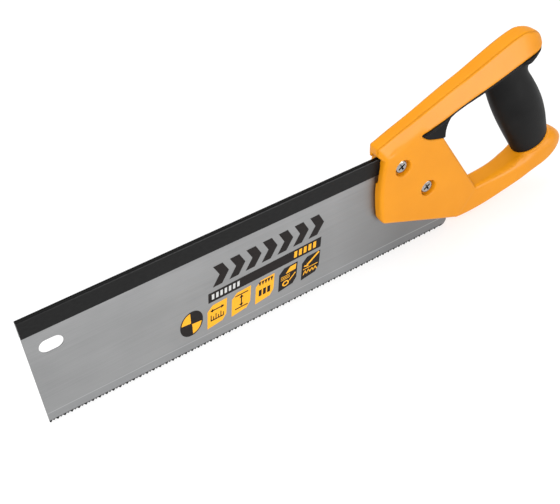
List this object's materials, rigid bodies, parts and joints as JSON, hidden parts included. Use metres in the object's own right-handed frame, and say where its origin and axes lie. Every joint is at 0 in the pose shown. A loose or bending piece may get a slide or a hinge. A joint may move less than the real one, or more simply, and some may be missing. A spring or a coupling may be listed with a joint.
{
  "type": "back saw",
  "caption": "Back saw with a thin toothed steel blade, a folded steel back along its top edge and a closed plastic handle with a rubber grip.",
  "frame": {"origin": "on the middle plane of the blade, at the toe, on the line of the tooth tips", "axes": "+X from the toe to the handle, +Z from the teeth to the back, +Y across the blade away from the screw heads"},
  "size_m": [0.4, 0.0248, 0.1333],
  "materials": {
    "blade_steel": "brushed along its length, lightly oiled",
    "back_paint": "black satin paint on folded steel",
    "handle_plastic": "orange moulded plastic, fine satin texture",
    "grip_rubber": "black soft moulded rubber, matt",
    "fastener_steel": "bright zinc plated"
  },
  "bodies": {
    "root": {"blade": "blade_steel", "blade_back": "back_paint", "handle_core": "handle_plastic", "grip_cover": "grip_rubber", "handle_screws": "fastener_steel", "handle_nuts": "fastener_steel"}
  },
  "joints": []
}
